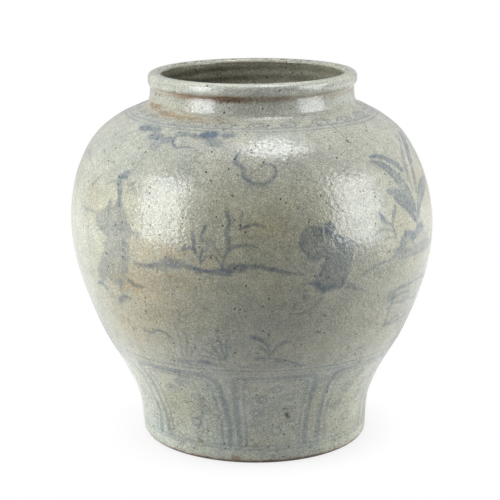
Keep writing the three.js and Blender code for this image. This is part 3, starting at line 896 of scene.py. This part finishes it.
def step(tree, value, low, high, to_low=0.0, to_high=1.0):
    """A smooth step from one value to another."""
    made = add(tree, "MapRange", {"Value": value, "From Min": low, "From Max": high,
                                  "To Min": to_low, "To Max": to_high}, interpolation_type="SMOOTHSTEP")
    return made.outputs["Result"]


def noise(tree, place, scale, detail=2.0, rough=0.5):
    """Noise from 0 to 1. The scale is the number of features in a metre."""
    made = add(tree, "TexNoise", {"Vector": place, "Scale": scale, "Detail": detail, "Roughness": rough})
    return made.outputs["Fac"]


def group(name, inputs, outputs):
    """An empty node group with named sockets, and its input and output nodes."""
    tree = bpy.data.node_groups.new(name, "ShaderNodeTree")
    for label, kind, default in inputs:
        socket = tree.interface.new_socket(label, in_out="INPUT", socket_type="NodeSocket" + kind)
        if default is not None:
            socket.default_value = default
    for label, kind in outputs:
        tree.interface.new_socket(label, in_out="OUTPUT", socket_type="NodeSocket" + kind)
    return tree, tree.nodes.new("NodeGroupInput").outputs, tree.nodes.new("NodeGroupOutput").inputs


def fired_glaze_group():
    """Colour, roughness and relief of a crackled glaze with iron specks and pinholes."""
    tree, given, out = group("fired_glaze", [
        ("Position", "Vector", None), ("Ground", "Color", (0.36, 0.37, 0.28, 1)),
        ("Mottle", "Color", (0.4, 0.39, 0.27, 1)), ("Crackle", "Float", 0.3), ("Specks", "Float", 0.5),
    ], [("Color", "Color"), ("Roughness", "Float"), ("Height", "Float")])
    place = given["Position"]
    # The two tones in patches, then clouds and grain
    patches = step(tree, noise(tree, place, 16, 3), 0.35, 0.65)
    color = blend(tree, patches, given["Ground"], given["Mottle"])
    clouds = noise(tree, place, 75, 3, 0.6)
    cloudy = color_of(tree, *(step(tree, clouds, 0.25, 0.75, dark, light)
                              for dark, light in ((0.86, 1.1), (0.88, 1.09), (0.9, 1.08))))
    color = multiplied(tree, color, cloudy)
    grain = noise(tree, place, 900, 2, 0.7)
    shade = step(tree, grain, 0.34, 0.66, 0.68, 1.27)
    color = multiplied(tree, color, color_of(tree, shade, shade, shade))
    # Crackle: fine cells within coarse ones, a little warped, and darker in some lines than in others
    warp = add(tree, "TexNoise", {"Vector": place, "Scale": 130, "Detail": 2}).outputs["Color"]
    shift = add(tree, "VectorMath", {0: warp, 1: (0.006, 0.006, 0.006)}, operation="MULTIPLY").outputs[0]
    bent = add(tree, "VectorMath", {0: place, 1: shift}, operation="ADD").outputs[0]
    fine = voronoi(tree, bent, 230, "DISTANCE_TO_EDGE")[0]
    coarse = voronoi(tree, bent, 120, "DISTANCE_TO_EDGE")[0]
    lines = maths(tree, "MAXIMUM", step(tree, fine, 0.03, 0.11, 0.9, 0),
                  step(tree, coarse, 0.01, 0.04, 1, 0))
    dirt = step(tree, noise(tree, place, 45, 2), 0.35, 0.62, 0.35, 1)
    crackle = maths(tree, "MULTIPLY", maths(tree, "MULTIPLY", lines, dirt), given["Crackle"])
    color = blend(tree, crackle, color, (0.07, 0.068, 0.05, 1))
    # Iron specks in a few of the cells
    cells = voronoi(tree, place, 210)
    rare = add(tree, "SeparateColor", {"Color": cells["Color"]}).outputs[0]
    size = maths(tree, "MULTIPLY_ADD", step(tree, rare, 0.55, 1.0, 0, 1), 0.15, 0.06)
    dot = step(tree, maths(tree, "SUBTRACT", size, cells["Distance"]), -0.03, 0.05)
    dot = maths(tree, "MULTIPLY", dot, step(tree, rare, 0.72, 0.76))
    specks = maths(tree, "MULTIPLY", dot, given["Specks"])
    color = blend(tree, specks, color, (0.045, 0.035, 0.022, 1))
    # Relief: orange peel, with pinholes, specks and crackle pressed in
    peel = noise(tree, place, 300, 0.8)
    holes = voronoi(tree, place, 420)["Distance"]
    pits = maths(tree, "ADD", maths(tree, "MULTIPLY", dot, -0.5), step(tree, holes, 0.05, 0.28, -0.4, 0))
    height = maths(tree, "ADD", maths(tree, "ADD", peel, pits), maths(tree, "MULTIPLY", lines, -0.12))
    plug(tree, out["Color"], color)
    plug(tree, out["Roughness"], step(tree, grain, 0.3, 0.7, 0.05, 0.09))
    plug(tree, out["Height"], height)
    return tree


def new_material(name):
    material = bpy.data.materials.new(name)
    material.use_nodes = True
    tree = material.node_tree
    tree.nodes.clear()
    return material, tree, add(tree, "TexCoord").outputs["Object"]


def shaded(tree, color, roughness, height, relief):
    """The shader of a material, with relief metres of bump."""
    bump = add(tree, "Bump", {"Height": height, "Strength": 1.0, "Distance": relief})
    shader = add(tree, "BsdfPrincipled", {"Base Color": color, "Roughness": roughness,
                                          "Normal": bump.outputs[0]})
    add(tree, "OutputMaterial", {"Surface": shader.outputs[0]})
    return shader


def painted_glaze():
    """Grey-green glaze over blue brushwork: pigment, iron stains and spots come from the mesh."""
    material, tree, place = new_material("painted_glaze")
    layer = add(tree, "Attribute", attribute_name="decor")
    shares = add(tree, "SeparateColor", {"Color": layer.outputs["Color"]}).outputs
    pigment, iron, spot, inside = shares[0], shares[1], shares[2], layer.outputs["Alpha"]
    level = axis(tree, place, "Z")
    low = step(tree, level, *PANELS, 1, 0)
    # The neck is painted lighter at the front than at the sides: painted light
    facing = step(tree, axis(tree, place, "Y"), *NECK_FRONT_PAINTED_LIGHT, 1, 0)
    neck_tone_painted_light = blend(tree, facing, (0.335, 0.35, 0.302, 1), (0.42, 0.435, 0.385, 1))
    # Each row's two tones of the glaze lie over those of the rows before it; the waist, neck and hem rows
    # also paint light and shade
    ground, mottle = (0.336, 0.346, 0.277, 1), (0.367, 0.364, 0.277, 1)
    for share, ground_tone, mottle_tone in (
            (step(tree, level, *SHOULDER), (0.322, 0.334, 0.288, 1), (0.348, 0.35, 0.292, 1)),
            # The lower belly, painted darker as shade
            (step(tree, level, *WAIST_PAINTED_SHADE, 1, 0), (0.317, 0.33, 0.274, 1), (0.345, 0.347, 0.275, 1)),
            # The neck, with painted light at its front
            (step(tree, level, *NECK), neck_tone_painted_light, multiplied(tree, neck_tone_painted_light, (1.07, 1.06, 1.03, 1))),
            (low, (0.325, 0.352, 0.308, 1), (0.362, 0.373, 0.297, 1)),
            # The foot: a cooler glaze, painted lighter as light from the floor
            (step(tree, level, *HEM_COOL_AND_PAINTED_LIGHT, 1, 0), (0.385, 0.412, 0.352, 1), (0.412, 0.43, 0.352, 1)),
            (inside, (0.288, 0.278, 0.209, 1), (0.395, 0.385, 0.294, 1))):
        ground = blend(tree, share, ground, ground_tone)
        mottle = blend(tree, share, mottle, mottle_tone)
    glaze = add(tree, "Group", {"Position": place, "Ground": ground, "Mottle": mottle, "Specks": 0.95,
                                "Crackle": maths(tree, "MULTIPLY_ADD", low, 0.25, 0.32)},
                node_tree=GLAZE).outputs
    # Pigment lies thicker here and thinner there, and its edge has run a little
    broken = noise(tree, place, 330, 3, 0.65)
    pooled = noise(tree, place, 60, 2)
    amount = maths(tree, "MULTIPLY", pigment, step(tree, broken, 0.3, 0.68, 0.62, 1.18))
    amount = maths(tree, "MULTIPLY", amount, step(tree, pooled, 0.3, 0.7, 0.75, 1.15))
    blue = multiplied(tree, glaze["Color"], (0.3, 0.378, 0.56, 1))
    color = blend(tree, maths(tree, "MINIMUM", amount, 1.0), glaze["Color"], blue)
    thick = maths(tree, "MULTIPLY", step(tree, pigment, 0.86, 0.98, 0, 0.7), step(tree, pooled, 0.35, 0.6))
    color = blend(tree, thick, color, multiplied(tree, color, (0.6, 0.75, 0.85, 1)))
    # Iron stains, rusty where they are strong
    tinge = noise(tree, place, 270, 4, 0.8)
    ochre = blend(tree, step(tree, tinge, 0.52, 0.62), (1.06, 0.88, 0.61, 1), (0.92, 0.69, 0.45, 1))
    ochre = blend(tree, step(tree, level, *NECK_ROOT), ochre, (0.9, 0.74, 0.57, 1))
    ochre = blend(tree, low, ochre, (0.96, 0.92, 0.68, 1))
    stain = maths(tree, "MULTIPLY", iron, step(tree, tinge, 0.4, 0.57, 0.15, 1))
    color = blend(tree, stain, color, multiplied(tree, color, ochre))
    rust = maths(tree, "MULTIPLY", step(tree, iron, 0.7, 1.0, 0, 0.85),
                 step(tree, tinge, 0.38, 0.56, 0.3, 1))
    color = blend(tree, rust, color, multiplied(tree, color, (0.6, 0.45, 0.34, 1)))
    # The bare edge of the foot, ragged above and painted very dark as shade where it meets the floor, and
    # the flat ring that it stands on
    ragged = maths(tree, "SUBTRACT", level, maths(tree, "MULTIPLY", noise(tree, place, 90, 4, 0.65), 0.006))
    color = blend(tree, step(tree, ragged, *EDGE_FRINGE, 0.7, 0), color, (0.3, 0.19, 0.11, 1))
    color = blend(tree, step(tree, ragged, *BARE_EDGE_AND_PAINTED_SHADE, 1, 0), color, (0.075, 0.047, 0.03, 1))
    clay = blend(tree, step(tree, broken, 0.35, 0.65), (0.3, 0.18, 0.105, 1), (0.38, 0.26, 0.17, 1))
    color = blend(tree, step(tree, level, *SOLE, 1, 0), color, clay)
    # The brown line in the crease under the rim, stronger where iron has gathered
    crease = maths(tree, "ABSOLUTE", maths(tree, "SUBTRACT", level, RIM_CREASE))
    waver = maths(tree, "MULTIPLY", noise(tree, place, 420, 3, 0.75), 0.003)
    crease = maths(tree, "SUBTRACT", crease, waver)
    rim_line = maths(tree, "MULTIPLY", step(tree, crease, -0.0004, 0.0036, 1, 0),
                     maths(tree, "MULTIPLY_ADD", iron, 0.95, 0.28))
    rim_line = maths(tree, "MULTIPLY", rim_line, maths(tree, "SUBTRACT", 1.0, inside))
    color = blend(tree, rim_line, color, (0.17, 0.1, 0.055, 1))
    # Spots are black, and the chip at the foot is brown
    at_chip = step(tree, level, *CHIP_TOP, 1, 0)
    color = blend(tree, spot, color, blend(tree, at_chip, (0.02, 0.014, 0.01, 1), (0.21, 0.145, 0.09, 1)))
    relief = maths(tree, "MULTIPLY", glaze["Height"], maths(tree, "MULTIPLY_ADD", inside, 1.6, 1.0))
    relief = maths(tree, "MULTIPLY", relief, step(tree, level, *NECK, 1.0, 0.5))
    shader = shaded(tree, color, glaze["Roughness"], relief, GLAZE_RELIEF)
    shader.inputs["IOR"].default_value = GLAZE_IOR
    plug(tree, shader.inputs["Coat Weight"], step(tree, level, *HAZE, 0.5, 0.15))
    shader.inputs["Coat Roughness"].default_value = HAZE_ROUGHNESS
    return material


def slip_glaze():
    """The thin dark glaze inside, on the slip and the upper face of the disc."""
    material, tree, place = new_material("slip_glaze")
    glaze = add(tree, "Group", {"Position": place, "Ground": (0.2, 0.195, 0.15, 1), "Crackle": 0.25,
                                "Mottle": (0.27, 0.265, 0.21, 1), "Specks": 0.7},
                node_tree=GLAZE).outputs
    shader = shaded(tree, glaze["Color"], glaze["Roughness"], glaze["Height"], SLIP_RELIEF)
    shader.inputs["IOR"].default_value = GLAZE_IOR
    return material


def bare_clay():
    """Unglazed stoneware, burnt brown, with grit and kiln marks."""
    material, tree, place = new_material("bare_clay")
    patches = step(tree, noise(tree, place, 28, 4, 0.65), 0.35, 0.65)
    color = blend(tree, patches, (0.34, 0.2, 0.115, 1), (0.42, 0.29, 0.19, 1))
    grit = noise(tree, place, 700, 2, 0.7)
    color = blend(tree, step(tree, grit, 0.6, 0.72, 0, 0.6), color, (0.12, 0.075, 0.045, 1))
    height = maths(tree, "ADD", grit, maths(tree, "MULTIPLY", patches, 0.4))
    shaded(tree, color, step(tree, grit, 0.3, 0.7, 0.7, 0.9), height, CLAY_RELIEF)
    return material


GLAZE = fired_glaze_group()
PAINTED_GLAZE = painted_glaze()
SLIP_GLAZE = slip_glaze()
BARE_CLAY = bare_clay()

paint_jar()
upper_body()
lower_body()
neck_collar()
neck_slip()
belly_slip()
foot_slip()
foot_disc()


# Studio. The camera stands where the outline, the rim and the foot fit the view
CAMERA_PLACE = (-0.0017, -1.4833, 0.5355)
CAMERA_DOWN = 0.2405
CAMERA_LENS = 118.13
CAMERA_SENSOR = 36
LAMP_AIM = 0.2  # level that the lamps face
GLOSS_TINT = (0.94, 0.975, 1.0)
FLOOR_RADIUS = 9
SOFTBOXES = [  # (name, azimuth, elevation, distance, width, height, brightness, gloss, roll)
    ("highlight_left", -56, 15, 1.35, 0.66, 1.0, 6.2, True, 8),
    ("highlight_right", 68.5, 15, 1.35, 0.76, 1.0, 5.5, True, -16),
    ("highlight_above", 64, 79, 1.3, 0.54, 0.5, 6.2, True, 0),
    ("side_left", -98, 28, 1.7, 1.8, 1.9, 0.5, False, 0),
    ("side_right", 98, 28, 1.7, 1.8, 1.9, 0.7, False, 0),
    ("low_left", -102, 3, 1.7, 1.8, 0.4, 17.5, False, 0),
    ("low_right", 102, 3, 1.7, 1.8, 0.4, 18.5, False, 0),
    ("front_left", -60, 10, 1.7, 1.0, 1.0, 3.4, False, 0),
    ("front_high", -58, 45, 1.7, 1.0, 1.0, 1.68, False, 0),
    ("top", 0, 84, 1.6, 1.0, 1.0, 9.15, False, 0),
]


def mirror_rays(tree, path):
    return maths(tree, "MAXIMUM", path["Is Glossy Ray"], path["Is Transmission Ray"])


def studio_floor():
    """White to the camera, with a trace of shadow by the foot. For the light that it gives back
    it is pale by the foot, darker farther off and lighter at the sides."""
    material, tree, place = new_material("studio_floor")
    path = add(tree, "LightPath").outputs
    away = add(tree, "VectorMath", {0: place}, operation="LENGTH").outputs["Value"]
    aside = maths(tree, "ABSOLUTE", axis(tree, place, "X"))
    tone = maths(tree, "MULTIPLY", step(tree, away, 0.12, 0.28, 0.9, 0.25),
                 step(tree, aside, 0.1, 0.32, 1.0, 2.2))
    paper = add(tree, "BsdfDiffuse", {"Color": color_of(tree, tone, tone, tone)})
    white = add(tree, "Emission", {"Color": (1, 1, 1, 1), "Strength": 1.0})
    mirrored = maths(tree, "MULTIPLY", mirror_rays(tree, path),
                     step(tree, axis(tree, place, "Y"), 0.05, 0.7, 0.05, 0.45))
    seen = maths(tree, "MAXIMUM", path["Is Camera Ray"], mirrored)
    share = maths(tree, "MULTIPLY", seen, step(tree, away, 0.1, 0.15, 0.8, 1.0))
    mixed = add(tree, "MixShader", {0: share, 1: paper.outputs[0], 2: white.outputs[0]})
    add(tree, "OutputMaterial", {"Surface": mixed.outputs[0]})
    mesh = bpy.data.meshes.new("studio_floor")
    shape = bmesh.new()
    bmesh.ops.create_circle(shape, cap_ends=True, segments=96, radius=FLOOR_RADIUS)
    shape.to_mesh(mesh)
    shape.free()
    mesh.materials.append(material)
    floor = bpy.data.objects.new("studio_floor", mesh)
    bpy.context.scene.collection.objects.link(floor)


def softbox(name, azimuth, elevation, distance, width, height, brightness, gloss, roll):
    """A rectangular lamp that faces the middle of the jar. Azimuth 0 is the camera's side, and a
    brightness of 1 is a white face. A gloss lamp only makes highlights, and the others only
    light the form."""
    lamp = bpy.data.lights.new(name, "AREA")
    lamp.shape = "RECTANGLE"
    lamp.size = width
    lamp.size_y = height
    lamp.energy = brightness * math.pi * width * height
    lamp.color = GLOSS_TINT if gloss else (1, 1, 1)
    a, e = azimuth * DEGREE, elevation * DEGREE
    out = np.array([math.sin(a) * math.cos(e), -math.cos(a) * math.cos(e), math.sin(e)])
    stand = bpy.data.objects.new(name, lamp)
    stand.location = out * distance + np.array([0, 0, LAMP_AIM])
    facing = Euler((math.pi / 2 - e, 0, a)).to_matrix() @ Matrix.Rotation(roll * DEGREE, 3, "Z")
    stand.rotation_euler = facing.to_euler()
    stand.visible_diffuse = not gloss
    stand.visible_glossy = gloss
    bpy.context.scene.collection.objects.link(stand)


def studio_world():
    """White to the camera. For reflections and soft light it is darker on the camera's side."""
    world = bpy.data.worlds.new("studio")
    world.use_nodes = True
    bpy.context.scene.world = world
    tree = world.node_tree
    tree.nodes.clear()
    path = add(tree, "LightPath").outputs
    toward = axis(tree, add(tree, "TexCoord").outputs["Generated"], "Y")
    mirrored = maths(tree, "MULTIPLY", mirror_rays(tree, path), step(tree, toward, -0.35, 0.25, 0.05, 0.5))
    glow = step(tree, toward, -0.2, 0.6, 0.03, 0.25)
    strength = maths(tree, "MAXIMUM", path["Is Camera Ray"], maths(tree, "MAXIMUM", mirrored, glow))
    backdrop = add(tree, "Background", {"Color": (1, 1, 1, 1), "Strength": strength})
    add(tree, "OutputWorld", {"Surface": backdrop.outputs[0]})


def studio_camera():
    settings = bpy.data.cameras.new("camera")
    settings.sensor_width = CAMERA_SENSOR
    settings.lens = CAMERA_LENS
    camera = bpy.data.objects.new("camera", settings)
    camera.location = CAMERA_PLACE
    camera.rotation_euler = (math.pi / 2 - CAMERA_DOWN, 0, 0)
    bpy.context.scene.collection.objects.link(camera)
    bpy.context.scene.camera = camera


for box in SOFTBOXES:
    softbox(*box)
studio_floor()
studio_world()
studio_camera()
bpy.context.scene.view_settings.view_transform = "Standard"
